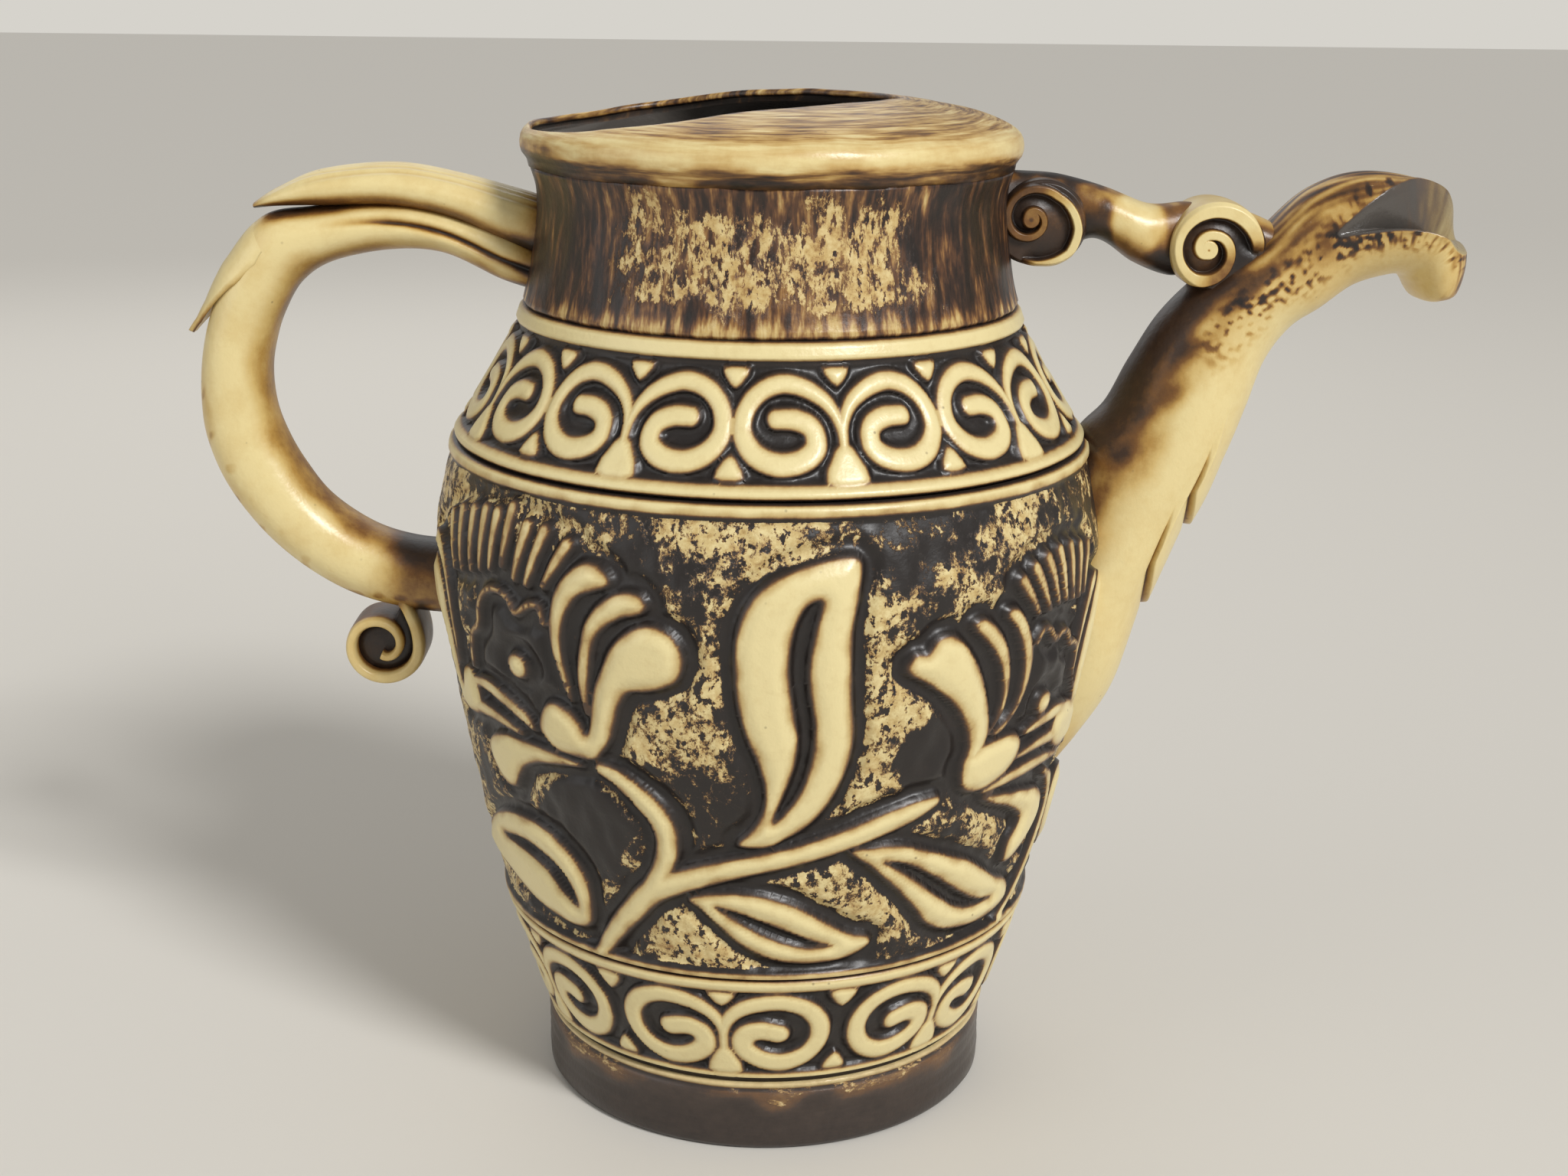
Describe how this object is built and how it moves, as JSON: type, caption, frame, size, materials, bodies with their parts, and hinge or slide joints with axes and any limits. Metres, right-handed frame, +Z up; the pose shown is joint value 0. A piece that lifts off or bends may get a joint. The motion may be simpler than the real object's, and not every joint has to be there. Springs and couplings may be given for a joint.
{
  "type": "spouted pitcher",
  "caption": "Carved ceramic pitcher with a round belly, flared neck, half-covered mouth, curved spout with a scrolled bridge, and a scroll handle.",
  "frame": {"origin": "middle of the flat underside of the foot", "axes": "+Z up along the axis of the belly, +X towards the spout, the handle at -X"},
  "size_m": [0.2739, 0.1474, 0.2197],
  "materials": {
    "carved_clay": "wiped cream and brown glaze over carved clay",
    "neck_glaze": "streaked brown and cream glaze",
    "rim_glaze": "cream glaze with brown speckle",
    "foot_glaze": "dark brown glaze worn at the edge",
    "spout_glaze": "cream glaze with brown edges",
    "handle_glaze": "cream glaze with brown in the grooves"
  },
  "bodies": {
    "root": {"foot": "foot_glaze", "belly": "carved_clay", "neck": "neck_glaze", "mouth_hood": "rim_glaze", "spout_root": "spout_glaze", "spout_middle_sheath": "spout_glaze", "spout_top_sheath": "spout_glaze", "spout_beak": "spout_glaze", "bridge_bar": "spout_glaze", "bridge_volute_neck": "spout_glaze", "bridge_volute_spout": "spout_glaze", "handle_top_leaf": "handle_glaze", "handle_arm": "handle_glaze", "handle_leaf_tip": "handle_glaze", "handle_bar": "handle_glaze", "handle_tail_scroll": "handle_glaze"}
  },
  "joints": []
}
